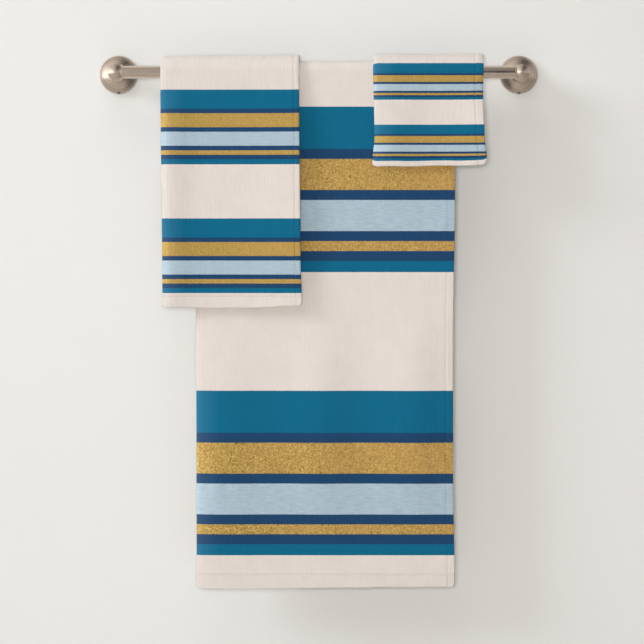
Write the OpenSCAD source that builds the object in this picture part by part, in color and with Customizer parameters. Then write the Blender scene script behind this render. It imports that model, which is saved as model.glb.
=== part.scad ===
// Towel set on a wall rail: a bath towel, a hand towel and a washcloth, each folded in half
// lengthwise and draped over a round bar between two wall brackets.
// Frame: origin on the wall, midway between the brackets at the height of the bar's axis.
// +X to the right, -Y out of the wall towards the user, +Z up. Millimetres.

/* [Rail] */
// Distance between the centres of the two wall brackets
bracket_spacing = 609.6; // [590:0.1:640]
// Distance from the wall to the bar's axis
stand_off = 70; // [66:1:90]
// Outside diameter of the bar
bar_d = 19; // [16:0.5:19.5]
// Wall thickness of the bar's tube
bar_wall = 1.2; // [0.8:0.1:2]
// Radial clearance between the bar and its socket
bar_play = 0.05; // [0.01:0.01:0.1]
// How far each end of the bar goes into its post
bar_entry = 10; // [6:0.5:11]

/* [Brackets] */
// Diameter of the round cover on the wall
cover_d = 58; // [56:1:64]
// How far the domed cover stands off the wall
cover_h = 20; // [18:0.5:24]
// Height of the cover's straight rim
rim_h = 3; // [2:0.5:4]
// Depth of the hollow behind the cover
cover_hollow = 9; // [8.5:0.1:10]
// Diameter of the post
post_d = 24; // [23:0.5:26]
// How far the post's domed end passes the bar's axis
post_nose = 13; // [12.5:0.5:16]
// Distance from the post's axis to the flat face where the bar enters
boss_reach = 10.4; // [10:0.1:11.4]
// Diameter of the hidden wall plate
plate_d = 43; // [40:1:46]
// Thickness of the hidden wall plate
plate_t = 8; // [7:0.5:8.4]
// Gap around the wall plate inside the cover
plate_play = 0.5; // [0.2:0.1:1]

/* [Fixings] */
// Distance between the two wall screws of a bracket
screw_spacing = 28; // [26:1:30]
// Diameter of a wall screw's thread
screw_d = 4.2; // [3.5:0.1:4.5]
// How much thicker a wall screw's smooth shank is than its thread
shank_extra = 0.4; // [0.2:0.1:0.6]
// Length of a wall screw behind the wall's surface
screw_depth = 32; // [20:1:40]
// Diameter of the screw that holds the post to the cover
post_screw_d = 6; // [5:0.5:6]
// Diameter of the grub screw under the cover
grub_d = 4; // [3:0.5:4]

/* [Bath towel] */
// Left edge of the bath towel, from the middle of the rail
bath_left = -184; // [-190:1:-160]
// Width of the folded bath towel
bath_width = 390; // [360:1:394]
// Front drop of the bath towel below the bar's axis
bath_front_drop = 776; // [740:1:790]
// Back drop of the bath towel below the bar's axis
bath_back_drop = 711; // [690:1:740]
// Thickness of the bath towel's two layers
bath_cloth = 6.2; // [5:0.1:6.4]
// Depth of the bath towel's end hems
bath_end_hem = 22; // [16:1:26]
// Width of the bath towel's side hem
bath_side_hem = 11; // [8:1:14]
// How far below the bar the lower part of the front drop starts to fold up
bath_bend_drop = 375; // [370:1:420]

/* [Hand towel] */
// Left edge of the hand towel, from the middle of the rail
hand_left = -236; // [-240:1:-220]
// Width of the folded hand towel
hand_width = 207.7; // [200:0.1:210]
// Front drop of the hand towel below the bar's axis
hand_front_drop = 351; // [330:1:355]
// Back drop of the hand towel below the bar's axis
hand_back_drop = 300; // [280:1:320]
// Thickness of the hand towel's two layers
hand_cloth = 6.4; // [5:0.1:6.4]
// Gap between the bath towel and the hand towel over it
hand_gap = 2.6; // [2:0.1:3]
// Depth of the hand towel's end hems
hand_end_hem = 15; // [10:1:18]
// Width of the hand towel's side hem
hand_side_hem = 8; // [6:1:10]

/* [Washcloth] */
// Left edge of the washcloth, from the middle of the rail
wash_left = 81.6; // [80:0.1:90]
// Width of the folded washcloth
wash_width = 165.4; // [160:0.1:166]
// Front drop of the washcloth below the bar's axis
wash_front_drop = 141; // [130:1:150]
// Back drop of the washcloth below the bar's axis
wash_back_drop = 129; // [120:1:140]
// Thickness of the washcloth's two layers
wash_cloth = 6.2; // [5:0.1:6.2]
// Gap between the bath towel and the washcloth over it
wash_gap = 4.3; // [4:0.1:4.6]
// Depth of the washcloth's end hems
wash_end_hem = 11; // [8:1:14]
// Width of the washcloth's side hem
wash_side_hem = 12; // [8:1:14]

/* [Sewing] */
// How far a hem's extra layer stands out on each face
hem_proud = 0.5; // [0.2:0.1:0.6]
// Width of a line of stitching
thread_w = 0.8; // [0.5:0.1:1]
// How far a line of stitching stands out of the cloth
thread_h = 0.3; // [0.2:0.1:0.4]
// Radius of a towel's corners
corner_r = 6; // [3:0.5:8]

/* [Hidden] */
$fn = 64;
nickel = [0.66, 0.62, 0.56];
zinc = [0.62, 0.63, 0.65];
steel = [0.45, 0.45, 0.47];
cream = [0.88, 0.84, 0.81];
thread_colour = [0.95, 0.93, 0.90];

bar_r = bar_d / 2;
post_r = post_d / 2;
bracket_x = bracket_spacing / 2;
end_gap = 0.2;
bar_length = bracket_spacing - 2 * (boss_reach - bar_entry) - 2 * end_gap;

bath_inner_r = bar_r + 0.3;
bath_outer_r = bath_inner_r + bath_cloth;
hand_inner_r = bath_outer_r + hand_gap;
hand_outer_r = hand_inner_r + hand_cloth;
wash_inner_r = bath_outer_r + wash_gap;
wash_outer_r = wash_inner_r + wash_cloth;
bath_right = bath_left + bath_width;

boss_r = bar_r + 1.6;
bend_r = bath_cloth / 2;
bend_clear = 0.4;
lap_clear = 0.3;
far = 60;

// ---- Placing helpers ----

// A bracket's own frame has its axis along +Z, out of the wall, its +X towards the bar
// and its +Y up; the right bracket is the left one's mirror image
module at_bracket(side) {
    mirror([side > 0 ? 1 : 0, 0, 0])
        translate([-bracket_x, 0, 0])
            rotate([90, 0, 0]) children();
}

// An outline drawn in the plane of Y (across the rail) and Z (up), run along X
module along_rail(left, width) {
    translate([left, 0, 0]) rotate([90, 0, 90]) linear_extrude(width) children();
}

// ---- Bracket pieces, each in the bracket's own frame ----

// Right half of the cover's section: a straight rim, an oval dome and a curved neck up to the post
module cover_section() {
    rim_r = cover_d / 2;
    dome_h = 0.92 * (cover_h - rim_h);
    neck_r = 4;
    steps = 36;
    difference() {
        union() {
            square([rim_r, rim_h]);
            polygon([
                [0, rim_h],
                for (i = [0:steps]) let (a = 90 * i / steps) [rim_r * cos(a), rim_h + dome_h * sin(a)]
            ]);
            square([post_r, cover_h]);
            difference() {
                translate([post_r, rim_h]) square([neck_r, cover_h - rim_h]);
                translate([post_r + neck_r, cover_h]) circle(neck_r);
            }
        }
        translate([-1, -1]) square([plate_d / 2 + plate_play + 1, cover_hollow + 1]);
    }
}

// Domed cover with a hole for the post's screw and one for the grub screw underneath
module wall_cover() {
    difference() {
        rotate_extrude() cover_section();
        translate([0, 0, cover_hollow - 1]) cylinder(d = post_screw_d + 0.4, h = cover_h);
        translate([0, 0, plate_t / 2]) rotate([90, 0, 0]) cylinder(d = grub_d, h = cover_d);
    }
}

// Turned post with a domed end and a flat round face where the bar enters
module post() {
    nose_z = stand_off + post_nose;
    dome_h = 5;
    difference() {
        union() {
            translate([0, 0, cover_h]) cylinder(r = post_r, h = nose_z - dome_h - cover_h);
            translate([0, 0, nose_z - dome_h]) intersection() {
                translate([0, 0, dome_h - dome_radius(dome_h)]) sphere(r = dome_radius(dome_h));
                cylinder(r = post_r, h = dome_h);
            }
            translate([0, 0, stand_off]) rotate([0, 90, 0]) cylinder(r = boss_r, h = boss_reach);
        }
        translate([boss_reach, 0, stand_off]) rotate([0, 90, 0]) cylinder(r = boss_r, h = post_d);
        translate([boss_reach - bar_entry, 0, stand_off]) rotate([0, 90, 0])
            cylinder(r = bar_r + bar_play, h = post_d);
        translate([0, 0, cover_h - 1]) cylinder(d = post_screw_d, h = 17);
    }
}

// Radius of the sphere that caps the post with a dome of the given height
function dome_radius(h) = (post_r * post_r + h * h) / (2 * h);

// Zinc plate screwed to the wall, hidden by the cover
module wall_plate() {
    difference() {
        cylinder(d = plate_d, h = plate_t);
        translate([0, 0, -1]) cylinder(r = 7, h = plate_t + 2);
        for (side = [-1, 1]) translate([0, side * screw_spacing / 2, 0]) {
            translate([0, 0, -1]) cylinder(d = screw_d + shank_extra + 0.4, h = plate_t + 2);
            translate([0, 0, plate_t - 3]) cylinder(r = 4.1, h = 4);
        }
    }
}

// Two pan-head screws through the plate into the wall
module wall_screws() {
    for (side = [-1, 1]) translate([0, side * screw_spacing / 2, 0]) difference() {
        union() {
            translate([0, 0, -screw_depth]) cylinder(d = screw_d, h = screw_depth);
            cylinder(d = screw_d + shank_extra, h = plate_t - 3);
            translate([0, 0, -screw_depth - 4]) cylinder(d1 = 0.6, d2 = screw_d, h = 4);
            translate([0, 0, plate_t - 3]) cylinder(r = 3.9, h = 2.4);
        }
        for (turn = [0, 90]) rotate(turn) translate([-2.2, -0.5, plate_t - 1.8]) cube([4.4, 1, 3]);
    }
}

// Socket-head screw from behind the cover into the post
module post_screw() {
    head_h = 4;
    difference() {
        union() {
            translate([0, 0, cover_hollow]) cylinder(d = post_screw_d, h = 24);
            translate([0, 0, cover_hollow - head_h]) cylinder(r = 5, h = head_h);
        }
        translate([0, 0, cover_hollow - head_h - 1]) cylinder(r = 2.5, h = 3.5, $fn = 6);
    }
}

// Grub screw up through the cover's rim onto the wall plate's edge
module grub_screw() {
    length = (cover_d - plate_d) / 2 - 1;
    translate([0, -plate_d / 2, plate_t / 2]) rotate([90, 0, 0]) difference() {
        cylinder(d = grub_d, h = length);
        translate([0, 0, length - 2]) cylinder(r = 1.1, h = 3, $fn = 6);
    }
}

module towel_bar() color(nickel) rotate([0, 90, 0]) translate([0, -stand_off, -bar_length / 2])
    difference() {
        cylinder(r = bar_r, h = bar_length);
        translate([0, 0, -1]) cylinder(r = bar_r - bar_wall, h = bar_length + 2);
    }

// ---- Cloth sections, drawn across the rail ----

// A quarter of the turn over the bar: side -1 is the front quarter, +1 the back one
module quarter_turn(inner_r, outer_r, side) {
    translate([-stand_off, 0]) intersection() {
        difference() {
            circle(outer_r);
            circle(inner_r);
        }
        translate([side < 0 ? -far : 0, 0]) square(far);
    }
}

// A straight drop between two heights, at the front (side -1) or the back (side +1)
module drop(inner_r, outer_r, top_z, bottom_z, side) {
    near = -stand_off + (side < 0 ? -outer_r : inner_r);
    translate([near, bottom_z]) square([outer_r - inner_r, top_z - bottom_z]);
}

// Front half of a towel, from the top of the bar down
module front_section(inner_r, outer_r, bottom_z) {
    quarter_turn(inner_r, outer_r, -1);
    drop(inner_r, outer_r, 0, bottom_z, -1);
}

// Back half of a towel, from the top of the bar down
module back_section(inner_r, outer_r, bottom_z) {
    quarter_turn(inner_r, outer_r, 1);
    drop(inner_r, outer_r, 0, bottom_z, 1);
}

// Back drop of a towel whose front lifts: its inner layer runs on over the bar to the front
module lapped_back(inner_r, outer_r, bottom_z) {
    mid_r = (inner_r + outer_r) / 2;
    quarter_turn(inner_r, mid_r, -1);
    quarter_turn(inner_r, mid_r, 1);
    drop(inner_r, outer_r, 0, bottom_z, 1);
}

// Front drop that lifts: its outer layer runs up over the back drop's inner layer, and its
// inner layer starts low enough to clear that layer as the drop swings up
module lapped_front(inner_r, outer_r, bottom_z) {
    mid_r = (inner_r + outer_r) / 2;
    lap_step = sqrt(mid_r * mid_r - inner_r * inner_r) + 1.5;
    quarter_turn(mid_r + lap_clear, outer_r, -1);
    drop(mid_r + lap_clear, outer_r, 0, bottom_z, -1);
    drop(inner_r, outer_r, -lap_step, bottom_z, -1);
}

// An end hem: a thicker band along the bottom edge with rounded corners
module end_hem(left, width, inner_r, outer_r, bottom_z, height, side) {
    thick = outer_r - inner_r + 2 * hem_proud;
    near = -stand_off + (side < 0 ? -outer_r : inner_r) - hem_proud;
    round_r = min(corner_r, height / 2);
    translate([left, near + thick, bottom_z]) rotate([90, 0, 0]) linear_extrude(thick) {
        translate([0, round_r]) square([width, height - round_r]);
        translate([round_r, 0]) square([width - 2 * round_r, height]);
        for (x = [round_r, width - round_r]) translate([x, round_r]) circle(round_r);
    }
}

// A line of stitching across a drop's outer face
module stitch_row(left, width, face_r, z, side) {
    near = -stand_off + (side < 0 ? -face_r - thread_h : face_r);
    translate([left, near, z]) cube([width, thread_h, thread_w]);
}

// A line of stitching down a drop's outer face, beside a side hem
module stitch_column(hem_x, face_r, top_z, bottom_z, side) {
    near = -stand_off + (side < 0 ? -face_r - thread_h : face_r);
    translate([hem_x - 1.5 * thread_w, near, bottom_z]) cube([thread_w, thread_h, top_z - bottom_z]);
}

// ---- Bracket nodes ----

module wall_plate_left() color(zinc) at_bracket(-1) wall_plate();
module wall_plate_right() color(zinc) at_bracket(1) wall_plate();
module wall_screws_left() color(steel) at_bracket(-1) wall_screws();
module wall_screws_right() color(steel) at_bracket(1) wall_screws();
module wall_cover_left() color(nickel) at_bracket(-1) wall_cover();
module wall_cover_right() color(nickel) at_bracket(1) wall_cover();
module post_left() color(nickel) at_bracket(-1) post();
module post_right() color(nickel) at_bracket(1) post();
module post_screw_left() color(steel) at_bracket(-1) post_screw();
module post_screw_right() color(steel) at_bracket(1) post_screw();
module grub_screw_left() color(steel) at_bracket(-1) grub_screw();
module grub_screw_right() color(steel) at_bracket(1) grub_screw();

// ---- Bath towel nodes ----

bath_main_width = bath_width - bath_side_hem;
bath_front_hem_z = -bath_front_drop + bath_end_hem;
bath_back_hem_z = -bath_back_drop + bath_end_hem;
bath_upper_z = -bath_bend_drop + bend_r + bend_clear;
bath_bend_y = -stand_off - (bath_inner_r + bath_outer_r) / 2;

module bath_towel_back() color(cream) along_rail(bath_left, bath_main_width)
    back_section(bath_inner_r, bath_outer_r, bath_back_hem_z);

module bath_towel_front() color(cream) along_rail(bath_left, bath_main_width)
    front_section(bath_inner_r, bath_outer_r, bath_upper_z);

// The lower front's top edge is round about the line it folds up on
module lower_front_section() {
    translate([bath_bend_y, -bath_bend_drop]) circle(bend_r);
    drop(bath_inner_r, bath_outer_r, -bath_bend_drop, bath_front_hem_z, -1);
}

module bath_towel_lower_front() color(cream) along_rail(bath_left, bath_main_width)
    lower_front_section();

module bath_towel_back_hem() color(cream)
    end_hem(bath_left, bath_width, bath_inner_r, bath_outer_r, -bath_back_drop, bath_end_hem, 1);

module bath_towel_front_hem() color(cream)
    end_hem(bath_left, bath_width, bath_inner_r, bath_outer_r, -bath_front_drop, bath_end_hem, -1);

module bath_towel_side_hem() color(cream) along_rail(bath_right - bath_side_hem, bath_side_hem) {
    front_section(bath_inner_r, bath_outer_r + hem_proud, bath_upper_z);
    back_section(bath_inner_r, bath_outer_r + hem_proud, bath_back_hem_z);
}

module bath_towel_lower_side_hem() color(cream)
    along_rail(bath_right - bath_side_hem, bath_side_hem) lower_front_section();

bath_seam_x = bath_right - bath_side_hem;

module bath_towel_stitching() color(thread_colour) {
    stitch_row(bath_left, bath_main_width, bath_outer_r, bath_back_hem_z + 1, 1);
    stitch_column(bath_seam_x, bath_outer_r, 0, bath_back_hem_z + 4, 1);
    stitch_column(bath_seam_x, bath_outer_r, 0, bath_upper_z + 4, -1);
}

module bath_towel_lower_stitching() color(thread_colour) {
    stitch_row(bath_left, bath_main_width, bath_outer_r, bath_front_hem_z + 1, -1);
    stitch_column(bath_seam_x, bath_outer_r, -bath_bend_drop - 4, bath_front_hem_z + 4, -1);
}

// ---- Nodes of the two small towels, which are the same design in two sizes ----

// A small towel's sizes and the functions that name them
hand = [hand_left, hand_width, hand_inner_r, hand_outer_r,
        hand_front_drop, hand_back_drop, hand_end_hem, hand_side_hem];
wash = [wash_left, wash_width, wash_inner_r, wash_outer_r,
        wash_front_drop, wash_back_drop, wash_end_hem, wash_side_hem];
function left(towel) = towel[0];
function width(towel) = towel[1];
function inner_r(towel) = towel[2];
function outer_r(towel) = towel[3];
function side_drop(towel, side) = side < 0 ? towel[4] : towel[5];
function end_hem_h(towel) = towel[6];
function side_hem_w(towel) = towel[7];
function seam_x(towel) = left(towel) + width(towel) - side_hem_w(towel);
function hem_top_z(towel, side) = end_hem_h(towel) - side_drop(towel, side);

module small_back_section(towel) lapped_back(inner_r(towel), outer_r(towel), hem_top_z(towel, 1));

module small_front_section(towel) lapped_front(inner_r(towel), outer_r(towel), hem_top_z(towel, -1));

module small_back(towel) color(cream)
    along_rail(left(towel), width(towel) - side_hem_w(towel)) small_back_section(towel);

module small_front(towel) color(cream)
    along_rail(left(towel), width(towel) - side_hem_w(towel)) small_front_section(towel);

module small_back_side_hem(towel) color(cream)
    along_rail(seam_x(towel), side_hem_w(towel)) small_back_section(towel);

module small_front_side_hem(towel) color(cream)
    along_rail(seam_x(towel), side_hem_w(towel)) small_front_section(towel);

module small_end_hem(towel, side) color(cream)
    end_hem(left(towel), width(towel), inner_r(towel), outer_r(towel),
            -side_drop(towel, side), end_hem_h(towel), side);

module small_stitching(towel, side) color(thread_colour) {
    row_w = width(towel) - side_hem_w(towel);
    row_z = hem_top_z(towel, side) + 1;
    stitch_row(left(towel), row_w, outer_r(towel), row_z, side);
    stitch_column(seam_x(towel), outer_r(towel), 0, row_z + 3, side);
}

module hand_towel_back() small_back(hand);
module hand_towel_front() small_front(hand);
module hand_towel_back_hem() small_end_hem(hand, 1);
module hand_towel_front_hem() small_end_hem(hand, -1);
module hand_towel_back_side_hem() small_back_side_hem(hand);
module hand_towel_front_side_hem() small_front_side_hem(hand);
module hand_towel_back_stitching() small_stitching(hand, 1);
module hand_towel_front_stitching() small_stitching(hand, -1);

module washcloth_back() small_back(wash);
module washcloth_front() small_front(wash);
module washcloth_back_hem() small_end_hem(wash, 1);
module washcloth_front_hem() small_end_hem(wash, -1);
module washcloth_back_side_hem() small_back_side_hem(wash);
module washcloth_front_side_hem() small_front_side_hem(wash);
module washcloth_back_stitching() small_stitching(wash, 1);
module washcloth_front_stitching() small_stitching(wash, -1);

wall_plate_left();
wall_plate_right();
wall_screws_left();
wall_screws_right();
wall_cover_left();
wall_cover_right();
post_left();
post_right();
post_screw_left();
post_screw_right();
grub_screw_left();
grub_screw_right();
towel_bar();
bath_towel_back();
bath_towel_front();
bath_towel_lower_front();
bath_towel_back_hem();
bath_towel_front_hem();
bath_towel_side_hem();
bath_towel_lower_side_hem();
bath_towel_stitching();
bath_towel_lower_stitching();
hand_towel_back();
hand_towel_front();
hand_towel_back_hem();
hand_towel_front_hem();
hand_towel_back_side_hem();
hand_towel_front_side_hem();
hand_towel_back_stitching();
hand_towel_front_stitching();
washcloth_back();
washcloth_front();
washcloth_back_hem();
washcloth_front_hem();
washcloth_back_side_hem();
washcloth_front_side_hem();
washcloth_back_stitching();
washcloth_front_stitching();
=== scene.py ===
"""Looks for a bath towel, a hand towel and a washcloth draped over a wall-mounted towel bar.

Each towel is one rectangle of printed cloth, folded in half lengthwise with the print outside, and
hung over the bar. A point of the flat cloth has two coordinates in metres: u across, 0 at the
lengthwise fold, positive on the outer layer and negative on the layer next to the bar, and v along,
0 at the front bottom edge. Everything else is in the row frame, in metres.
"""

import math

import bpy
import numpy as np
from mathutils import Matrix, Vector


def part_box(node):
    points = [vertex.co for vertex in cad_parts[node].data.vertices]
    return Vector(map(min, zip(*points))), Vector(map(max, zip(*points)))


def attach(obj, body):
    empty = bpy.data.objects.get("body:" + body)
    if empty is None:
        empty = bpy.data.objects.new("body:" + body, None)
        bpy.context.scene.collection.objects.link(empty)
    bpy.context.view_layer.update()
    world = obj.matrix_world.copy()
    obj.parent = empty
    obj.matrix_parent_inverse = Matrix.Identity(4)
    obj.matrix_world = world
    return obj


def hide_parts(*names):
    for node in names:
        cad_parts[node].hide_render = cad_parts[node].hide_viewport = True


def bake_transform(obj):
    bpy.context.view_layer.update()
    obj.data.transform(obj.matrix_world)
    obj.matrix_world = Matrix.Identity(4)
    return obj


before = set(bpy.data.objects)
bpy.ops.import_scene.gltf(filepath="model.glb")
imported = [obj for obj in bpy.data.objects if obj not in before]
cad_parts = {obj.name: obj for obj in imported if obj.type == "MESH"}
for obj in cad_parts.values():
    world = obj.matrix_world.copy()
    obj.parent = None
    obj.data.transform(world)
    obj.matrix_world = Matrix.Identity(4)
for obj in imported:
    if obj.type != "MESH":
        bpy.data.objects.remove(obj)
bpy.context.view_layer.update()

MM = 0.001
BAR_LOW, BAR_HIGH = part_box("towel_bar")
BAR_Y = (BAR_LOW.y + BAR_HIGH.y) / 2
BAR_Z = (BAR_LOW.z + BAR_HIGH.z) / 2


def smooth(low, high, value):
    """0 below low, 1 above high, and a smooth step between them."""
    t = np.clip((value - low) / (high - low), 0, 1)
    return t * t * (3 - 2 * t)


def ripples(a, b, seed, wavelength, count=7):
    """Smooth noise between about -1 and 1 over the plane (a, b): a sum of waves in random directions."""
    rng = np.random.default_rng(seed)
    total = np.zeros(np.broadcast(a, b).shape)
    for _ in range(count):
        heading = rng.uniform(0, 2 * math.pi)
        length = wavelength * rng.uniform(0.7, 1.5)
        along = (a * math.cos(heading) + b * math.sin(heading)) / length
        total += np.sin(2 * math.pi * along + rng.uniform(0, 2 * math.pi))
    return total / math.sqrt(2 * count)


# ---- Camera and light ----

CAMERA_DISTANCE = 4.3
CAMERA_X = 4.7 * MM
CAMERA_Z = -0.254
CAMERA_PITCH = math.radians(1.637)
LENS = 157.3


def add_camera():
    data = bpy.data.cameras.new("camera")
    data.lens = LENS
    data.sensor_width = 36
    data.clip_end = 50
    camera = bpy.data.objects.new("camera", data)
    camera.location = (CAMERA_X, -CAMERA_DISTANCE, CAMERA_Z)
    camera.rotation_euler = (math.pi / 2 - CAMERA_PITCH, 0, 0)
    bpy.context.collection.objects.link(camera)
    bpy.context.scene.camera = camera


def add_area_light(name, place, aim, size, watts, colour, spread=180):
    """A rectangular light that the metal doesn't mirror: it mirrors the world's studio. spread is the
    angle it shines into, in degrees."""
    data = bpy.data.lights.new(name, "AREA")
    data.shape = "RECTANGLE"
    data.size, data.size_y = size
    data.energy = watts
    data.color = colour
    data.spread = math.radians(spread)
    light = bpy.data.objects.new(name, data)
    light.location = place
    light.rotation_euler = (Vector(aim) - Vector(place)).to_track_quat("-Z", "Y").to_euler()
    light.visible_glossy = False
    bpy.context.collection.objects.link(light)


def add_lights():
    """A window high on the left, a warm lamp beside the camera, the ceiling, and the room behind the
    one-sided wall, which only shows in views from behind."""
    middle = (0, 0, -0.3)
    add_area_light(
        "key", place=(-5.4, -2.7, 2.5), aim=middle, size=(2.3, 2.7), watts=208,
        colour=(0.96, 1.0, 1.01)
    )
    add_area_light(
        "front", place=(-0.1, -4.4, -0.2), aim=middle, size=(0.5, 0.5), watts=24.4,
        colour=(1.0, 0.952, 0.918), spread=100
    )
    add_area_light(
        "above", place=(-0.6, -1.6, 2.4), aim=(0, 0, -0.2), size=(2.2, 1.4), watts=17,
        colour=(0.98, 1.0, 1.0)
    )
    add_area_light(
        "behind", place=(0.6, 3.0, 0.8), aim=middle, size=(2.0, 2.0), watts=130,
        colour=(1.0, 0.99, 0.98)
    )


# The studio as the metal mirrors it, by direction around the middle of the view: 0 and 1 are left,
# 0.25 is down, 0.5 right and 0.75 up
STUDIO_AROUND = [
    (0.0, 2.8), (0.06, 2.0), (0.12, 1.05), (0.25, 0.92), (0.42, 0.74), (0.55, 0.56), (0.61, 0.36),
    (0.65, 0.10), (0.70, 0.08), (0.75, 0.46), (0.80, 0.76), (0.89, 0.95), (0.95, 1.9), (1.0, 2.8),
]
# and by distance from a dark spot just right of the middle of the view, half as wide as it is high
STUDIO_OUTWARDS = [(0.12, 0.05), (0.42, 1.0)]
DARK_SPOT_X = 0.05
DARK_SPOT_NARROWING = 2.0
STUDIO_TINT = (1.0, 0.985, 0.96)
# The light on the cloth and the wall, by height: 0 is straight below and 1 straight above
SOFT_BY_HEIGHT = [(0.0, 0.05), (0.5, 0.10), (1.0, 0.42)]
SOFT_TINT = (1.0, 0.96, 0.91)
BEYOND_STAGE = (0.78, 0.78, 0.77)


def add_world():
    """A pale light for the cloth, stronger from above, and a studio with a window on the left for the
    metal to mirror."""
    world = bpy.data.worlds.new("studio")
    bpy.context.scene.world = world
    n = Nodes(world)
    n.tree.nodes.clear()
    split = n.add("SeparateXYZ")
    n.put(n.add("TexCoord").outputs["Generated"], split.inputs[0])
    x, y, z = split.outputs["X"], split.outputs["Y"], split.outputs["Z"]
    turn = n.math("MULTIPLY_ADD", n.math("ARCTAN2", z, x), 0.5 / math.pi, 0.5)
    sideways = n.math("MULTIPLY", n.math("SUBTRACT", x, DARK_SPOT_X), DARK_SPOT_NARROWING)
    outwards = n.vector("LENGTH", n.combine(sideways, z, n.math("MAXIMUM", y, 0.0)))
    studio = n.mix(1.0, n.ramp(turn, STUDIO_AROUND), n.ramp(outwards, STUDIO_OUTWARDS), "MULTIPLY")
    studio = n.mix(1.0, studio, STUDIO_TINT, "MULTIPLY")
    height = n.ramp(n.math("MULTIPLY_ADD", z, 0.5, 0.5), SOFT_BY_HEIGHT)
    soft = n.mix(1.0, height, SOFT_TINT, "MULTIPLY")
    path = n.add("LightPath")
    light = n.mix(path.outputs["Is Glossy Ray"], soft, studio)
    light = n.mix(path.outputs["Is Camera Ray"], light, BEYOND_STAGE)
    background = n.add("Background")
    n.put(light, background.inputs["Color"])
    n.put(background.outputs[0], n.add("OutputWorld").inputs["Surface"])


# ---- Node helpers ----


class Nodes:
    """The node tree of a material or world, with short calls for the nodes used here."""

    def __init__(self, owner):
        owner.use_nodes = True
        self.owner = owner
        self.tree = owner.node_tree
        self.shader = self.tree.nodes.get("Principled BSDF")

    def add(self, kind, **settings):
        node = self.tree.nodes.new("ShaderNode" + kind)
        for key, value in settings.items():
            setattr(node, key, value)
        return node

    def put(self, value, socket):
        """Links value to socket if it is an output, and sets it otherwise."""
        if isinstance(value, bpy.types.NodeSocket):
            self.tree.links.new(value, socket)
        else:
            socket.default_value = value

    def math(self, operation, *values):
        node = self.add("Math", operation=operation)
        for value, socket in zip(values, node.inputs):
            self.put(value, socket)
        return node.outputs[0]

    def vector(self, operation, *values):
        node = self.add("VectorMath", operation=operation)
        for value, socket in zip(values, node.inputs):
            self.put(value, socket)
        return node.outputs["Value" if operation in ("LENGTH", "DOT_PRODUCT") else "Vector"]

    def combine(self, x, y, z):
        node = self.add("CombineXYZ")
        for value, socket in zip((x, y, z), node.inputs):
            self.put(value, socket)
        return node.outputs[0]

    def noise(self, place, scale, detail=2.0, roughness=0.5, distortion=0.0):
        node = self.add("TexNoise")
        self.put(place, node.inputs["Vector"])
        node.inputs["Scale"].default_value = scale
        node.inputs["Detail"].default_value = detail
        node.inputs["Roughness"].default_value = roughness
        node.inputs["Distortion"].default_value = distortion
        return node.outputs["Fac"]

    def attribute(self, name):
        return self.add("Attribute", attribute_name=name).outputs["Fac"]

    def mix(self, factor, a, b, blend="MIX"):
        node = self.add("Mix", data_type="RGBA", blend_type=blend)
        self.put(factor, node.inputs["Factor"])
        for value, socket in ((a, node.inputs[6]), (b, node.inputs[7])):
            self.put(value if isinstance(value, bpy.types.NodeSocket) else (*value, 1), socket)
        return node.outputs[2]

    def ramp(self, factor, stops, interpolation="LINEAR"):
        node = self.add("ValToRGB")
        node.color_ramp.interpolation = interpolation
        elements = node.color_ramp.elements
        while len(elements) > 1:
            elements.remove(elements[-1])
        for i, (position, colour) in enumerate(stops):
            element = elements[0] if i == 0 else elements.new(position)
            element.position = position
            grey = (colour, colour, colour)
            element.color = (*(colour if hasattr(colour, "__len__") else grey), 1)
        self.put(factor, node.inputs["Fac"])
        return node.outputs["Color"]

    def bump(self, height, distance, strength=1.0, normal=None):
        node = self.add("Bump")
        self.put(height, node.inputs["Height"])
        node.inputs["Distance"].default_value = distance
        node.inputs["Strength"].default_value = strength
        if normal is not None:
            self.put(normal, node.inputs["Normal"])
        return node.outputs["Normal"]

    def finish(self, **sockets):
        for name, value in sockets.items():
            self.put(value, self.shader.inputs[name.replace("_", " ")])
        return self.owner


def new_material(name):
    return Nodes(bpy.data.materials.new(name))


def linear(red, green, blue):
    """A colour on the 0 to 255 screen scale, each above 10, as linear light."""
    return tuple(((c / 255 + 0.055) / 1.055) ** 2.4 for c in (red, green, blue))


# ---- Towel material ----

CREAM = linear(227, 218, 212)
TEAL = linear(15, 104, 139)
NAVY = linear(32, 69, 107)
GOLD = linear(190, 158, 82)
DARK_GOLD = linear(134, 98, 38)
BRIGHT_GOLD = linear(232, 200, 126)
ORANGE_GOLD = linear(205, 160, 98)
LIGHT_BLUE = linear(172, 193, 207)
DARK_STREAK = linear(161, 183, 198)
PALE_STREAK = linear(183, 202, 214)
REVERSE = linear(240, 237, 232)

# Stripes of one group from the bottom up, as (colour, height in units), and the plain cloth above them
STRIPES = [
    ("teal", 1), ("navy", 1), ("gold", 0.96), ("navy", 1), ("blue", 3),
    ("navy", 1), ("gold", 2.96), ("navy", 1), ("teal", 4.08), ("cream", 11.6),
]
COLOURS = {"cream": CREAM, "teal": TEAL, "navy": NAVY, "gold": GOLD, "blue": LIGHT_BLUE}
REPEAT = sum(height for _, height in STRIPES)
RIB = 3.7 * MM
WEFT = 1.1 * MM
THREAD_TWIST = 0.9 * MM
FOLD_HIGHLIGHT_W = 34 * MM
SEAM_SHADE_W = 3 * MM
PUCKER_W = 12 * MM


def stripe_stops(value_of):
    """Ramp stops of the repeat, with value_of(colour name) at each stripe."""
    stops = []
    at = 0.0
    for name, height in STRIPES:
        stops.append((at / REPEAT, value_of(name)))
        at += height
    return stops


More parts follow.
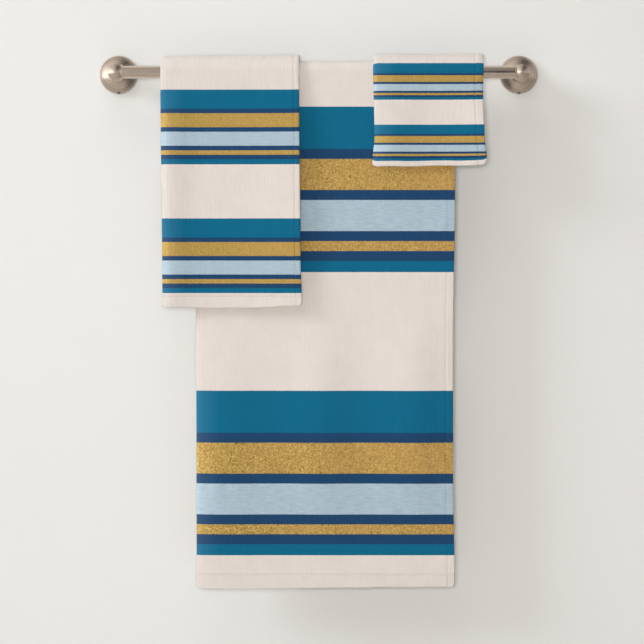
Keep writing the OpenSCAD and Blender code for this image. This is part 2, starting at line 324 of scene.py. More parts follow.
def gold_foil(n, u, v, fleck, foil):
    """Crumpled foil of light and dark flecks, more orange towards the open edges: its colour and its
    flecks' height."""
    flecks = n.noise(n.combine(n.math("MULTIPLY", u, 1.2), v, 0.0), 1 / fleck, 3.0, 0.62, 1.5)
    fleck_tone = n.ramp(flecks, [(0.36, DARK_GOLD), (0.50, GOLD), (0.65, BRIGHT_GOLD)])
    from_fold = n.math("MULTIPLY", n.math("ABSOLUTE", u), 1.2)
    patches = n.math("ADD", n.noise(n.combine(u, v, 0.0), 14, 2.0), from_fold)
    orange = n.ramp(patches, [(0.45, 0.0), (0.95, 0.42)])
    return n.mix(orange, n.mix(foil, GOLD, fleck_tone), ORANGE_GOLD), flecks


def light_blue(n, u, v, foil):
    """Long brushed streaks across the towel."""
    streaks = n.noise(n.combine(n.math("MULTIPLY", u, 0.16), v, 0.0), 420, 3.0, 0.6)
    return n.mix(foil, LIGHT_BLUE, n.ramp(streaks, [(0.30, DARK_STREAK), (0.70, PALE_STREAK)]))


def painted_fold_highlight(n, u, colour, is_dyed):
    """The colour with a painted highlight: the dyed stripes paler along the lit lengthwise fold."""
    from_fold = n.math("DIVIDE", n.math("ABSOLUTE", u), FOLD_HIGHLIGHT_W)
    fold_highlight = n.math("MULTIPLY", is_dyed, n.ramp(from_fold, [(0.0, 1.0), (0.3, 0.5), (1.0, 0.0)]))
    lightened = n.mix(0.035, n.mix(1.0, colour, (1.28, 1.28, 1.28), "MULTIPLY"), REVERSE)
    return n.mix(fold_highlight, colour, lightened)


def printed_colour(n, u, v, printed, unit, first_stripe, repeat, fleck, foil):
    """The print on one face and the plain reverse on the other: the colour, where it is gold, and the
    height of the gold's flecks."""
    # The print's edges waver by a thread
    wander = n.noise(n.combine(u, v, 0.0), 900, 1.0)
    waver = n.math("MULTIPLY", n.math("SUBTRACT", wander, 0.5), 0.8 * MM)
    above = n.math("ADD", n.math("SUBTRACT", v, first_stripe), waver)
    groups = n.math("DIVIDE", above, repeat)
    in_group = n.math("MULTIPLY", n.math("FRACT", groups), repeat / unit / REPEAT)
    place = n.math("MINIMUM", in_group, 0.999)
    stripes = n.ramp(place, stripe_stops(COLOURS.get), "CONSTANT")
    is_gold = n.ramp(place, stripe_stops(lambda c: float(c == "gold")), "CONSTANT")
    is_gold = n.math("MULTIPLY", is_gold, printed)
    is_blue = n.ramp(place, stripe_stops(lambda c: float(c == "blue")), "CONSTANT")
    is_dyed = n.ramp(place, stripe_stops(lambda c: float(c != "cream")), "CONSTANT")
    gold, flecks = gold_foil(n, u, v, fleck, foil)
    colour = n.mix(is_gold, stripes, gold)
    colour = n.mix(is_blue, colour, light_blue(n, u, v, foil))
    # Painted highlight: the dyed stripes paler along the lengthwise fold, where the light from the left
    # catches it
    colour = painted_fold_highlight(n, u, colour, is_dyed)
    return n.mix(printed, REVERSE, colour), is_gold, flecks


def shaded_cloth(n, u, v, colour, slubs, ribs, seam, foil):
    """The colour with uneven dye, long faint slubs, and painted shade in the ribs' grooves and the
    seams.
    """
    dye = n.ramp(n.noise(n.combine(u, v, 0.0), 35, 4.0, 0.6), [(0.30, 0.95), (0.70, 1.0)])
    slub_tone = n.ramp(slubs, [(0.32, 0.968 - 0.06 * (1 - foil)), (0.68, 1.0)])
    # Painted shade in the pinched seams
    seam_shade = n.ramp(n.math("DIVIDE", seam, SEAM_SHADE_W), [(0.0, 0.88), (0.6, 0.98), (1.0, 1.0)])
    # Painted shade in the ribs' grooves
    rib_shade = n.ramp(n.math("MULTIPLY_ADD", ribs, 0.5, 0.5), [(0.0, 0.965), (1.0, 1.0)])
    for tone in (dye, slub_tone, seam_shade, rib_shade):
        colour = n.mix(1.0, colour, tone, "MULTIPLY")
    return colour


def wavering_ribs(n, u, v):
    """Ribs along the towel, -1 in the grooves and 1 on the crests."""
    wander = n.noise(n.combine(u, n.math("MULTIPLY", v, 0.15), 0.0), 160, 2.0)
    phase = n.math("ADD", n.math("MULTIPLY", u, 2 * math.pi / RIB), n.math("MULTIPLY", wander, 3.2))
    return n.math("SINE", phase)


def towel_material(name, unit, first_stripe, repeat, fleck=3 * MM, foil=1.0, thread=False):
    """Printed towelling, or the thread printed along with it. unit is the height of the narrowest
    stripe, first_stripe where the lowest group starts above the front bottom edge, repeat the distance
    from one group to the next, fleck the size of the gold's flecks and foil how strongly they show."""
    n = new_material(name)
    u = n.attribute("cloth_u")
    v = n.attribute("cloth_v")
    printed = n.attribute("printed")
    seam = n.attribute("seam")
    flat = n.combine(u, v, 0.0)
    colour, is_gold, flecks = printed_colour(n, u, v, printed, unit, first_stripe, repeat, fleck, foil)
    slubs = n.noise(n.combine(u, n.math("MULTIPLY", v, 0.09), 0.0), 330, 3.0, 0.65)
    ribs = wavering_ribs(n, u, v)
    colour = shaded_cloth(n, u, v, colour, slubs, ribs, seam, foil)
    if thread:
        twist = n.math("SINE", n.math("MULTIPLY", n.math("ADD", u, v), 2 * math.pi / THREAD_TWIST))
        return n.finish(Base_Color=colour, Roughness=0.75, Normal=n.bump(twist, 0.05 * MM, 0.6))

    # A fine weft across the ribs, and loops standing up in them
    weft = n.math("SINE", n.math("MULTIPLY", v, 2 * math.pi / WEFT))
    loops = n.noise(flat, 1500, 2.0, 0.6)
    weave = n.math("ADD", n.math("MULTIPLY", ribs, 0.5), n.math("MULTIPLY", weft, 0.22))
    weave = n.math("ADD", weave, n.math("MULTIPLY", loops, 1.1))
    # Cloth drawn in by the stitches puckers beside each seam
    near_seam = n.ramp(n.math("DIVIDE", seam, PUCKER_W), [(0, 1.0), (1, 0.0)])
    pucker = n.math("MULTIPLY", n.noise(flat, 170, 2.0), near_seam)
    normal = n.bump(weave, 0.18 * MM, 0.75)
    normal = n.bump(slubs, 0.25 * MM, 0.5, normal)
    normal = n.bump(pucker, 1.2 * MM, 0.6, normal)
    normal = n.bump(n.math("MULTIPLY", flecks, is_gold), 0.9 * MM, 0.5, normal)
    n.shader.inputs["Sheen Weight"].default_value = 0.14
    n.shader.inputs["Sheen Roughness"].default_value = 0.45
    n.shader.inputs["Specular IOR Level"].default_value = 0.2
    return n.finish(
        Base_Color=colour, Roughness=n.math("SUBTRACT", 0.92, n.math("MULTIPLY", is_gold, 0.42)),
        Normal=normal, Metallic=n.math("MULTIPLY", is_gold, 0.25)
    )


# ---- Metal materials ----


NICKEL = linear(212, 195, 180)
TURNED_STEP = 3 * MM
GRUB_SHADE_R = 5 * MM


def finish_nickel(n, place, grooves, tangent, roughness, anisotropy, shade=None, normal=None):
    """Brushed nickel with fine grooves, smudges, and light drawn out along the tangent."""
    smudges = n.noise(place, 60, 3.0)
    tone = n.mix(n.math("MULTIPLY", grooves, 0.5), NICKEL, tuple(0.86 * c for c in NICKEL))
    if shade is not None:
        tone = n.mix(1.0, tone, shade, "MULTIPLY")
    rough = n.math("ADD", roughness - 0.05, n.math("MULTIPLY", smudges, 0.14))
    n.put(tangent, n.shader.inputs["Tangent"])
    n.shader.inputs["Anisotropic"].default_value = anisotropy
    normal = n.bump(grooves, 0.003 * MM, 0.5, normal)
    return n.finish(Base_Color=tone, Roughness=rough, Metallic=1.0, Normal=normal)


def bracket_nickel(name, centre, cover_r):
    """Nickel brushed round a bracket's axis through centre, with turned steps near the rim, painted
    shade in their grooves and painted shade round the grub screw's hole underneath."""
    n = new_material(name)
    place = n.add("TexCoord").outputs["Object"]
    away = n.vector("SUBTRACT", place, centre)
    from_axis = n.vector("MULTIPLY", away, (1.0, 0.0, 1.0))
    radius = n.vector("LENGTH", from_axis)
    tangent = n.vector("ADD", n.vector("NORMALIZE", from_axis), (0.0, 0.3, 0.0))
    split = n.add("SeparateXYZ")
    n.put(away, split.inputs[0])
    grooves = n.noise(n.combine(radius, split.outputs["Y"], 0.0), 5200, 3.0, 0.7)
    near_rim = n.ramp(n.math("DIVIDE", radius, cover_r), [(0.77, 0.0), (0.81, 1.0)])
    waves = n.math("SINE", n.math("MULTIPLY", radius, 2 * math.pi / TURNED_STEP))
    steps = n.math("MULTIPLY", waves, near_rim)
    # Painted shade in the grooves of the turned steps near the rim
    lines = n.ramp(n.math("MULTIPLY_ADD", steps, 0.5, 0.5), [(0.0, 0.45), (0.45, 1.0)])
    # Painted shade round the grub screw's hole underneath, where the hole shows dark
    from_hole = n.vector("MULTIPLY", n.vector("ADD", away, (0, 0, cover_r)), (1.0, 0.0, 1.0))
    in_grub_shade = n.math("DIVIDE", n.vector("LENGTH", from_hole), GRUB_SHADE_R)
    shade = n.mix(1.0, n.ramp(in_grub_shade, [(0.30, 0.16), (0.75, 1.0)]), lines, "MULTIPLY")
    return finish_nickel(n, place, grooves, tangent, 0.30, 0.75, shade, n.bump(steps, 0.10 * MM, 0.9))


def bar_nickel():
    """Nickel brushed round the bar, with grooves drawn out along it."""
    n = new_material("brushed_nickel_bar")
    place = n.add("TexCoord").outputs["Object"]
    grooves = n.noise(n.vector("MULTIPLY", place, (0.02, 1.0, 1.0)), 4200, 3.0, 0.7)
    return finish_nickel(n, place, grooves, n.combine(1.0, 0.0, 0.0), 0.14, 0.3)


def cast_zinc():
    """Plain die-cast zinc with a grainy skin."""
    n = new_material("cast_zinc")
    place = n.add("TexCoord").outputs["Object"]
    grain = n.noise(place, 900, 4.0, 0.6)
    patches = n.noise(place, 120, 2.0)
    tone = n.ramp(patches, [(0.35, linear(150, 152, 156)), (0.65, linear(186, 187, 190))])
    return n.finish(
        Base_Color=tone, Roughness=n.math("ADD", 0.38, n.math("MULTIPLY", grain, 0.2)),
        Metallic=1.0, Normal=n.bump(grain, 0.06 * MM, 0.6)
    )


def plated_steel():
    """Zinc-plated screw steel: faint blue and yellow tints over fine turning marks."""
    n = new_material("plated_steel")
    place = n.add("TexCoord").outputs["Object"]
    tint = n.noise(place, 240, 2.0)
    tone = n.ramp(tint, [(0.35, linear(150, 155, 168)), (0.65, linear(186, 182, 166))])
    marks = n.noise(n.vector("MULTIPLY", place, (1.0, 12.0, 1.0)), 1600, 2.0)
    return n.finish(Base_Color=tone, Roughness=0.34, Metallic=1.0, Normal=n.bump(marks, 0.04 * MM, 0.5))


# ---- Towel shape ----


class Towel:
    """A towel folded in half lengthwise, print outside, and draped over the bar. Its size is read from
    its CAD nodes. under_r is the radius it turns over the bar at, and cloth how thick one layer is."""

    # The cloth's extra thickness in a hem and the width of its rounded rim, as shares of the cloth
    hem_extra = 0.42
    rim_share = 0.42
    pinch_w = 1.1 * MM
    turn_lines = 29
    fold_lines = 9

    def __init__(self, front, front_hem, back_hem, side_hem, under_r, cloth):
        low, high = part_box(front_hem)
        side_low, side_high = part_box(side_hem)
        self.left = low.x
        self.right = high.x
        self.cloth = cloth
        self.outer_r = BAR_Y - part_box(front)[0].y
        self.inner_r = under_r
        self.front_drop = BAR_Z - low.z
        self.back_drop = BAR_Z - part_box(back_hem)[0].z
        self.end_hem = high.z - low.z
        self.side_hem = side_high.x - side_low.x
        self.mid_r = (self.outer_r + self.inner_r) / 2
        self.half_gap = (self.outer_r - self.inner_r - cloth) / 2
        self.arc = math.pi * self.mid_r
        self.length = self.front_drop + self.arc + self.back_drop
        self.fold_w = 9 * MM
        # A quarter of the ellipse that the fold follows, by Ramanujan's formula
        a, b = self.fold_w, self.half_gap
        self.fold_len = math.pi / 4 * (3 * (a + b) - math.sqrt((3 * a + b) * (a + 3 * b)))
        self.half_width = self.right - self.left - cloth / 2 - self.fold_w + self.fold_len
        self.corner = 7 * MM
        self.layer_short = 3 * MM
        # The bottom edge: how uneven it is, how much it rises to the right, and how far it hangs down
        # all along and in the middle
        self.uneven = 1.0 * MM
        self.tilt = 0.0
        self.dip = 0.0
        self.bow = 0.0
        self.seam_depth = 0.30

    # Each towel gives its own hang, by x, the distance across from the lengthwise fold and the
    # distance below the bar: swell is how far the cloth stands out and sway how far it moves sideways
    def swell(self, x, across, below, front):
        return np.zeros_like(x)

    def sway(self, x, below, front):
        return np.zeros_like(x)

    def sag(self, x, across):
        """How far the cloth sinks towards the bar where it turns over it."""
        return np.zeros_like(x)

    def at_sides(self, x, across, left_width, right_width):
        """1 at the two side edges, falling to 0 within the widths."""
        left = np.clip(1 - across / left_width, 0, 1)
        right = np.clip(1 - (self.right - x) / right_width, 0, 1)
        return left**2 + right**2

    def shortening(self, u, x, to_end):
        """How much higher than its straight place a point near an end is: round corners, an uneven
        edge, and the inner layer a little shorter than the outer one."""
        from_side = np.minimum(x - self.left, self.right - x)
        bite = np.clip(1 - from_side / self.corner, 0, 1)
        corner = self.corner * (1 - np.sqrt(1 - bite * bite))
        edge = self.uneven * ripples(x, 0 * x, 11, 90 * MM) - self.dip
        edge = edge + self.tilt * smooth(self.left, self.right, x)
        edge = edge - self.bow * np.sin(math.pi * (x - self.left) / (self.right - self.left))
        inner = self.layer_short * smooth(0, self.fold_len, -u)
        near = 1 - smooth(0, 3 * self.corner, to_end)
        return (corner + edge) * near + inner * (1 - smooth(0, 0.25, to_end))

    def middle(self, u, v):
        """Points of the cloth's middle surface."""
        side = np.abs(u)
        turn = np.clip(side / self.fold_len, 0, 1) * (math.pi / 2)
        across = self.cloth / 2 + self.fold_w * (1 - np.cos(turn))
        across = across + np.maximum(side - self.fold_len, 0)
        layer = np.sign(u) * np.sin(turn)
        over = np.clip((v - self.front_drop) / self.mid_r, 0, math.pi)
        below_front = np.maximum(self.front_drop - v, 0)
        below_back = np.maximum(v - self.front_drop - self.arc, 0)
        below = below_front + below_back
        front = v < self.front_drop + self.arc / 2
        to_end = np.minimum(v, self.length - v)
        x = self.left + across
        radius = self.mid_r + layer * self.half_gap + self.swell(x, across, below, front)
        radius = radius - self.sag(x, across) * (1 - smooth(0, 90 * MM, below))
        y = BAR_Y - radius * np.cos(over)
        z = BAR_Z + (radius * np.sin(over) - below + self.shortening(u, x, to_end))
        return np.stack([x + self.sway(x, below, front), y, z], axis=-1)

    def normal(self, u, v):
        """Unit normals towards the print."""
        step = 0.2 * MM
        along_u = self.middle(u + step, v) - self.middle(u - step, v)
        along_v = self.middle(u, v + step) - self.middle(u, v - step)
        across = np.cross(along_u, along_v)
        return across / np.linalg.norm(across, axis=-1, keepdims=True)

    def from_edges(self, u, v):
        """Distances to the nearest side edge and the nearest end."""
        return self.half_width - np.abs(u), np.minimum(v, self.length - v)

    def seam_distance(self, u, v):
        from_side, from_end = self.from_edges(u, v)
        return np.minimum(np.abs(from_side - self.side_hem), np.abs(from_end - self.end_hem))

    def thickness(self, u, v):
        """The cloth's thickness: turned-over hems, drawn in along their seams, and rounded edges."""
        from_side, from_end = self.from_edges(u, v)
        hem_side = 1 - smooth(self.side_hem - 1.5 * MM, self.side_hem + 0.5 * MM, from_side)
        hem_end = 1 - smooth(self.end_hem - 1.5 * MM, self.end_hem + 0.5 * MM, from_end)
        extra = self.hem_extra * np.maximum(hem_side, hem_end)
        pinch = self.seam_depth * np.exp(-((self.seam_distance(u, v) / self.pinch_w) ** 2))
        thick = self.cloth * (1 + extra) * (1 - pinch)
        rim = self.rim_share * self.cloth
        edge = np.clip(np.minimum(from_side, from_end) / rim, 0, 1)
        return thick * np.sqrt(np.clip(1 - (1 - edge) ** 2, 0, 1))

    def surface(self, u, v, face=1):
        """Points on the printed face (1) or the reverse (-1)."""
        return self.middle(u, v) + self.normal(u, v) * (face * self.thickness(u, v) / 2)[..., None]

    def u_lines(self, spacing):
        """Grid lines across the cloth: close together at the edges, the side seams and the fold."""
        flat_w = self.half_width - self.fold_len
        outer = self.half_width - edge_lines(self.side_hem, spacing, self.cloth, stop=flat_w)
        fold = np.linspace(0, self.fold_len, self.fold_lines)
        right = np.unique(np.round(np.concatenate([fold, outer]), 7))
        return np.concatenate([-right[:0:-1], right])

    def v_lines(self, spacing, start, end):
        """Grid lines along the cloth between start and end."""
        front = edge_lines(self.end_hem, spacing, self.cloth, stop=self.front_drop)
        turn = self.front_drop + np.linspace(0, self.arc, self.turn_lines)
        back = self.length - edge_lines(self.end_hem, spacing, self.cloth, stop=self.back_drop)
        lines = np.unique(np.round(np.concatenate([front, turn, back, [start, end]]), 7))
        return lines[(lines >= start - 1e-9) & (lines <= end + 1e-9)]


def edge_lines(hem, spacing, cloth, stop):
    """Distances from an edge: fine at the rounded rim and around the seam, then even up to stop."""
    rim = np.array([0, 0.06, 0.2, 0.42, 0.75, 1.3]) * cloth
    seam = hem + np.array([-2.4, -1.4, -0.7, 0, 0.7, 1.4, 2.6]) * MM
    inside = np.linspace(rim[-1], seam[0], max(2, round((seam[0] - rim[-1]) / spacing) + 1))
    rest = np.linspace(seam[-1], stop, round((stop - seam[-1]) / spacing) + 1)
    return np.unique(np.round(np.concatenate([rim, inside, seam, rest]), 7))


def new_object(name, vertices, faces, material, attributes=()):
    mesh = bpy.data.meshes.new(name)
    mesh.from_pydata(vertices.tolist(), [], faces)
    mesh.polygons.foreach_set("use_smooth", np.ones(len(mesh.polygons), bool))
    for key, values in attributes:
        mesh.attributes.new(key, "FLOAT", "POINT").data.foreach_set("value", values.astype(np.float32))
    mesh.materials.append(material)
    mesh.update()
    made = bpy.data.objects.new(name, mesh)
    bpy.context.collection.objects.link(made)
    return made


def sheet_faces(top, bottom):
    """Faces of a closed sheet over a grid of vertex numbers for its two sides, closed at both ends.
    Along its side edges the two sides share their vertices."""
    rows, columns = top.shape
    faces = []
    for i in range(rows - 1):
        for j in range(columns - 1):
            faces.append((top[i, j], top[i, j + 1], top[i + 1, j + 1], top[i + 1, j]))
            faces.append((bottom[i, j], bottom[i + 1, j], bottom[i + 1, j + 1], bottom[i, j + 1]))
    for j in range(columns - 1):
        faces.append((top[0, j + 1], top[0, j], bottom[0, j], bottom[0, j + 1]))
        faces.append((top[-1, j], top[-1, j + 1], bottom[-1, j + 1], bottom[-1, j]))
    faces = [tuple(dict.fromkeys(int(k) for k in face)) for face in faces]
    return [face for face in faces if len(face) > 2]


def cloth_object(towel, name, material, spacing, start, end):
    """The part of a towel from v = start to v = end, as one closed sheet of real thickness."""
    u, v = np.meshgrid(towel.u_lines(spacing), towel.v_lines(spacing, start, end))
    rows, columns = u.shape
    shared = np.minimum(*towel.from_edges(u, v)) < 0.001 * MM
    middle = towel.middle(u, v)
    offset = towel.normal(u, v) * (towel.thickness(u, v) / 2)[..., None]
    top = np.arange(rows * columns).reshape(rows, columns)
    bottom = top.copy()
    bottom[~shared] = rows * columns + np.arange(int((~shared).sum()))
    vertices = np.concatenate([(middle + offset).reshape(-1, 3), (middle - offset)[~shared]])
    printed = np.concatenate([np.ones(rows * columns), np.zeros(int((~shared).sum()))])
    attributes = [("printed", printed)]
    for key, field in (("cloth_u", u), ("cloth_v", v), ("seam", towel.seam_distance(u, v))):
        attributes.append((key, np.concatenate([field.reshape(-1), field[~shared]])))
    made = new_object(name, vertices, sheet_faces(top, bottom), material, attributes)
    return made


# ---- Stitches ----

STITCH = 3.4 * MM
STITCH_GAP = 0.7 * MM
THREAD_R = 0.28 * MM
THREAD_SIDES = 6
# Rings of one stitch: where each is along it, its radius, and how far it lifts off the cloth
RING_AT = np.array([-1.0, -0.72, 0.0, 0.72, 1.0])
RING_R = np.array([0.25, 0.85, 1.0, 0.85, 0.25]) * THREAD_R
RING_LIFT = np.array([-1.1, 0.05, 0.45, 0.05, -1.1]) * THREAD_R
END_CLEAR = 3 * MM


def seam_runs(towel, start, end):
    """The seams between v = start and v = end, as the centres and directions of their stitches."""
    pitch = STITCH + STITCH_GAP
    runs = []
    for v in (towel.end_hem, towel.length - towel.end_hem):
        if start < v < end:
            u = np.arange(-towel.half_width + END_CLEAR, towel.half_width - END_CLEAR, pitch)
            runs.append((u, np.full_like(u, v), 1, 0))
    low = max(start, END_CLEAR)
    high = min(end, towel.length - END_CLEAR)
    for side in (-1, 1):
        v = np.arange(low, high, pitch)
        runs.append((np.full_like(v, side * (towel.half_width - towel.side_hem)), v, 0, 1))
    return runs


def stitch_faces():
    """Faces of one stitch's rings and its two ends."""
    rings = len(RING_AT)
    faces = []
    for i in range(rings - 1):
        for j in range(THREAD_SIDES):
            a = i * THREAD_SIDES + j
            b = i * THREAD_SIDES + (j + 1) % THREAD_SIDES
            faces.append((a, a + THREAD_SIDES, b + THREAD_SIDES, b))
    first = tuple(range(THREAD_SIDES))
    last = tuple((rings - 1) * THREAD_SIDES + j for j in reversed(range(THREAD_SIDES)))
    return faces + [first, last]


def stitch_points(towel, u, v, du, dv):
    """The rings' points of the stitches centred at (u, v) that run along (du, dv)."""
    angles = np.arange(THREAD_SIDES) * 2 * math.pi / THREAD_SIDES
    normal = towel.normal(u, v)
    ahead = towel.surface(u + du * STITCH / 2, v + dv * STITCH / 2)
    behind = towel.surface(u - du * STITCH / 2, v - dv * STITCH / 2)
    along = (ahead - behind) / 2
    sideways = np.cross(normal, along)
    sideways /= np.linalg.norm(sideways, axis=-1, keepdims=True)
    core = ((ahead + behind) / 2)[:, None] + along[:, None] * RING_AT[:, None]
    core = core + normal[:, None] * RING_LIFT[:, None]
    spokes = np.cos(angles)[:, None] * normal[:, None] + np.sin(angles)[:, None] * sideways[:, None]
    return (core[:, :, None] + spokes[:, None] * RING_R[:, None, None]).reshape(-1, 3)


def stitches_object(towel, name, material, start, end):
    """Every stitch of the printed face as its own short length of thread, sunk at both ends."""
    size = len(RING_AT) * THREAD_SIDES
    points, across, along = [], [], []
    for u, v, du, dv in seam_runs(towel, start, end):
        points.append(stitch_points(towel, u, v, du, dv))
        across.append(np.repeat(u, size))
        along.append(np.repeat(v, size))
    points = np.concatenate(points)
    one_stitch = stitch_faces()
    faces = []
    for first in range(0, len(points), size):
        faces.extend(tuple(first + k for k in face) for face in one_stitch)
    one = np.ones(len(points))
    attributes = [
        ("cloth_u", np.concatenate(across)), ("cloth_v", np.concatenate(along)),
        ("seam", one), ("printed", one),
    ]
    made = new_object(name, points, faces, material, attributes)
    return made


# ---- The three towels ----


def ridge(x, at, left_width, right_width=None):
    """A soft fold standing out of the cloth, as wide on both sides unless right_width says otherwise."""
    width = np.where(x < at, left_width, right_width or left_width)
    return np.exp(-(((x - at) / width) ** 2))


class BathTowel(Towel):
    """Its left edge lies back, and three long soft folds stand out below the hand towel and fade
    towards the hem."""

    # Millimetres: how far each fold stands out, its distance from the left edge, and its widths
    folds = [(2.6, 50, 34, 36), (5.0, 190, 40, 38), (6.8, 330, 46, 38)]

    def swell(self, x, across, below, front):
        back = -3.8 * MM * np.exp(-across / (19 * MM)) * smooth(0.05, 0.35, below)
        folds = 0
        for height, at, left_width, right_width in self.folds:
            folds = folds + height * MM * ridge(across, at * MM, left_width * MM, right_width * MM)
        growth = smooth(0.32, 0.46, below) * (1 - 0.9 * smooth(0.56, 0.73, below))
        waves = back + folds * growth
        slow = 0.5 * MM * ripples(x, 0.5 * below, 3, 0.16) * smooth(0.05, 0.4, below)
        near_hem = 1 - smooth(0, 60 * MM, self.front_drop - below)
        hem = 0.35 * MM * ripples(x, 0.6 * below, 5, 22 * MM) * near_hem
        return np.where(front, waves + slow + hem, 0.6 * slow + 0.4 * waves + hem)

    def sway(self, x, below, front):
        share = smooth(self.left, self.right, x)
        narrow = -2.6 * MM * smooth(0.02, 0.15, below) - 2.0 * MM * smooth(0.22, 0.42, below)
        flare = 2.4 * MM * smooth(0.60, 0.76, below)
        return share * (narrow + flare) + 0.5 * MM * ripples(below, 0 * below, 8, 0.2)


class HandTowel(Towel):
    """Hangs a little to the right, stands out beside its left edge and at its right, and sinks onto the
    bar to the left of beneath_left, where the bath towel ends."""

    beneath_left = 0.0

    def swell(self, x, across, below, front):
        width = self.right - self.left
        folds = 5.2 * MM * ridge(across, 12 * MM, 9 * MM, 26 * MM)
        folds = folds + 9.5 * MM * ridge(x, self.right + 8 * MM, 0.35 * width)
        near_hem = 1 - smooth(0, 45 * MM, self.front_drop - below)
        hem = 0.3 * MM * ripples(x, below, 23, 18 * MM) * near_hem
        slow = 0.5 * MM * ripples(x, 0.25 * below, 21, 0.11)
        clear = 0.5 * MM * smooth(0.0, 0.1, below)
        return (folds + slow) * smooth(-0.02, 0.12, below) + clear + hem

    def sway(self, x, below, front):
        drift = 2.6 * MM * smooth(-0.02, 0.33, below) - 0.7 * MM
        open_side = smooth(self.left, self.right, x)
        edge = open_side * (-0.6 * MM + 1.7 * MM * smooth(0.29, 0.34, below))
        return np.where(front, drift + edge, 0.4 * drift)

    def sag(self, x, across):
        off_towel = 1 - smooth(self.beneath_left - 32 * MM, self.beneath_left + 8 * MM, x)
        ends = self.at_sides(x, across, 6 * MM, 5 * MM)
        return 1.2 * MM * np.minimum(off_towel + ends, 1)


class Washcloth(Towel):
    """Small and stiff: two folds, a bottom hem that flares, and round top corners."""

    def swell(self, x, across, below, front):
        width = self.right - self.left
        folds = 3.2 * MM * ridge(across, 0.18 * width, 0.12 * width, 0.17 * width)
        folds = folds + 10.0 * MM * ridge(x, self.right + 6 * MM, 0.28 * width)
        hem = 0.5 * MM * ripples(x, below, 33, 26 * MM) * smooth(0.10, 0.13, below)
        clear = 0.5 * MM * smooth(0.0, 0.08, below)
        return folds * smooth(0.0, 0.09, below) + clear + hem

    def sway(self, x, below, front):
        centre = (self.left + self.right) / 2
        outward = (x - centre) / (self.right - centre)
        on_right = smooth(centre, self.right, x)
        drift = 1.4 * MM * smooth(0.0, 0.13, below) - 0.8 * MM * (1 - on_right)
        waist = -1.0 * MM * smooth(-0.01, 0.06, below)
        drift = drift - 1.8 * MM * ridge(below, 30 * MM, 50 * MM) * on_right
        flare = 2.8 * MM * smooth(0.100, 0.128, below)
        return np.where(front, drift + outward * (waist + flare), 0.5 * outward * flare)

    def sag(self, x, across):
        return 1.8 * MM * self.at_sides(x, across, 8 * MM, 7 * MM)


def make_bath_towel():
    towel = BathTowel(
        front="bath_towel_front", back_hem="bath_towel_back_hem", front_hem="bath_towel_front_hem",
        side_hem="bath_towel_side_hem",
        under_r=BAR_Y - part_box("bath_towel_lower_front")[1].y, cloth=2.6 * MM
    )
    towel.tilt = 3.4 * MM
    towel.uneven = 0.6 * MM
    print_sizes = {
        "unit": 15.4 * MM, "first_stripe": 51.2 * MM, "repeat": 425.1 * MM, "fleck": 2.9 * MM
    }
    material = towel_material("bath_towel_print", **print_sizes)
    thread = towel_material("bath_towel_thread", **print_sizes, thread=True)
    # The cloth is cut behind the bar: the back rides on the bath towel's body
    cut = towel.front_drop + towel.arc + 25 * MM
    spacing = 5 * MM
    front = cloth_object(towel, "bath_towel_front_cloth", material, spacing, 0, cut)
    back = cloth_object(towel, "bath_towel_back_cloth", material, spacing, cut, towel.length)
    front_thread = stitches_object(towel, "bath_towel_front_stitches", thread, 0, cut)
    back_thread = stitches_object(towel, "bath_towel_back_stitches", thread, cut, towel.length)
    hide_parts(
        "bath_towel_front", "bath_towel_lower_front", "bath_towel_front_hem",
        "bath_towel_side_hem", "bath_towel_lower_side_hem"
    )
    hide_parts("bath_towel_back", "bath_towel_back_hem")
    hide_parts("bath_towel_lower_stitching")
    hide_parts("bath_towel_stitching")
    for piece in (front, front_thread):
        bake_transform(piece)
    for piece in (back, back_thread):
        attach(piece, "bath_towel")
    return towel


def make_small_towel(kind, name, bath, over_bath, spacing, hem_shape, seam_depth, print_sizes):
    """A hand towel or washcloth as one sheet. over_bath is its distance from the bath towel and
    hem_shape the tilt, dip and bow of its bottom edge."""
    towel = kind(
        front=f"{name}_front", front_hem=f"{name}_front_hem", back_hem=f"{name}_back_hem",
        side_hem=f"{name}_front_side_hem", under_r=bath.outer_r + over_bath, cloth=2.9 * MM
    )
    towel.beneath_left = bath.left
    towel.tilt, towel.dip, towel.bow = hem_shape
    towel.seam_depth = seam_depth
    material = towel_material(f"{name}_print", **print_sizes)
    thread = towel_material(f"{name}_thread", **print_sizes, thread=True)
    cloth = cloth_object(towel, f"{name}_cloth", material, spacing, 0, towel.length)
    stitches = stitches_object(towel, f"{name}_stitches", thread, 0, towel.length)
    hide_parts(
        f"{name}_front", f"{name}_back", f"{name}_front_hem", f"{name}_back_hem",
        f"{name}_front_side_hem", f"{name}_back_side_hem"
    )
    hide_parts(f"{name}_front_stitching", f"{name}_back_stitching")
    for piece in (cloth, stitches):
        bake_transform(piece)


def make_towels():
    bath = make_bath_towel()
    make_small_towel(
        HandTowel, "hand_towel", bath, over_bath=1.9 * MM, spacing=4 * MM,
        hem_shape=(2.5 * MM, 1.8 * MM, 2.2 * MM), seam_depth=0.35, print_sizes={
            "unit": 6.93 * MM, "first_stripe": 20.2 * MM, "repeat": 192.0 * MM,
            "fleck": 1.8 * MM, "foil": 0.5,
        }
    )
    make_small_towel(
        Washcloth, "washcloth", bath, over_bath=2.6 * MM, spacing=3 * MM,
        hem_shape=(2.6 * MM, 1.4 * MM, 0.0), seam_depth=0.55, print_sizes={
            "unit": 3.32 * MM, "first_stripe": 7.9 * MM, "repeat": 90.5 * MM,
            "fleck": 1.5 * MM, "foil": 0.45,
        }
    )


# ---- Rail and stage ----

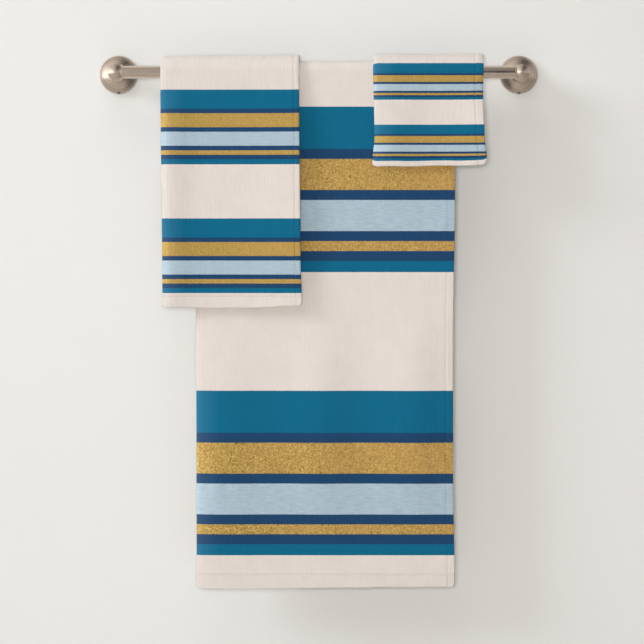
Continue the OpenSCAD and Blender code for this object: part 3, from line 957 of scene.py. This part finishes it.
def dress_rail():
    """Materials of the carried-over CAD nodes."""
    zinc = cast_zinc()
    steel = plated_steel()
    for side in ("left", "right"):
        low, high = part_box(f"wall_cover_{side}")
        centre = ((low.x + high.x) / 2, 0.0, (low.z + high.z) / 2)
        turned = bracket_nickel(f"brushed_nickel_{side}", centre, (high.x - low.x) / 2)
        for node, material in (
            (f"wall_cover_{side}", turned), (f"post_{side}", turned), (f"wall_plate_{side}", zinc),
            (f"wall_screws_{side}", steel), (f"post_screw_{side}", steel), (f"grub_screw_{side}", steel),
        ):
            paint(node, material)
    paint("towel_bar", bar_nickel())


def paint(node, material):
    """Gives a carried-over CAD node its material."""
    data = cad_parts[node].data
    data.materials.clear()
    data.materials.append(material)


def stage_material(name, colour, one_sided=False):
    """Matt paint with a faint grain. A one-sided surface is clear when seen from its back."""
    n = new_material(name)
    place = n.add("TexCoord").outputs["Object"]
    grain = n.noise(place, 260, 3.0)
    tone = n.ramp(grain, [(0.3, tuple(0.985 * c for c in colour)), (0.7, colour)])
    n.finish(Base_Color=tone, Roughness=0.9, Normal=n.bump(grain, 0.15 * MM, 0.3))
    if one_sided:
        clear = n.add("BsdfTransparent")
        choose = n.add("MixShader")
        n.put(n.add("NewGeometry").outputs["Backfacing"], choose.inputs["Fac"])
        n.put(n.shader.outputs[0], choose.inputs[1])
        n.put(clear.outputs[0], choose.inputs[2])
        n.put(choose.outputs[0], n.tree.nodes["Material Output"].inputs["Surface"])
    return n.owner


WALL_HALF = 2.2
WALL_Y = -0.2 * MM
WALL_TOP = 3.0
FLOOR_HALF = 7.0
FLOOR_Z = -1.22


def add_stage():
    """A pale wall that the brackets stand on, seen only from the room, and a pale floor."""
    wall_points = [
        (-WALL_HALF, WALL_Y, FLOOR_Z), (WALL_HALF, WALL_Y, FLOOR_Z),
        (WALL_HALF, WALL_Y, WALL_TOP), (-WALL_HALF, WALL_Y, WALL_TOP),
    ]
    floor_points = [
        (-FLOOR_HALF, -FLOOR_HALF, FLOOR_Z), (FLOOR_HALF, -FLOOR_HALF, FLOOR_Z),
        (FLOOR_HALF, FLOOR_HALF, FLOOR_Z), (-FLOOR_HALF, FLOOR_HALF, FLOOR_Z),
    ]
    wall_paint = stage_material("wall_paint", linear(233, 233, 231), one_sided=True)
    floor_paint = stage_material("floor_paint", linear(206, 205, 202))
    wall = new_object("wall_backdrop", np.array(wall_points), [(0, 1, 2, 3)], wall_paint)
    floor = new_object("floor", np.array(floor_points), [(0, 1, 2, 3)], floor_paint)


bpy.context.scene.view_settings.view_transform = "Standard"
add_camera()
add_world()
add_lights()
add_stage()
dress_rail()
make_towels()
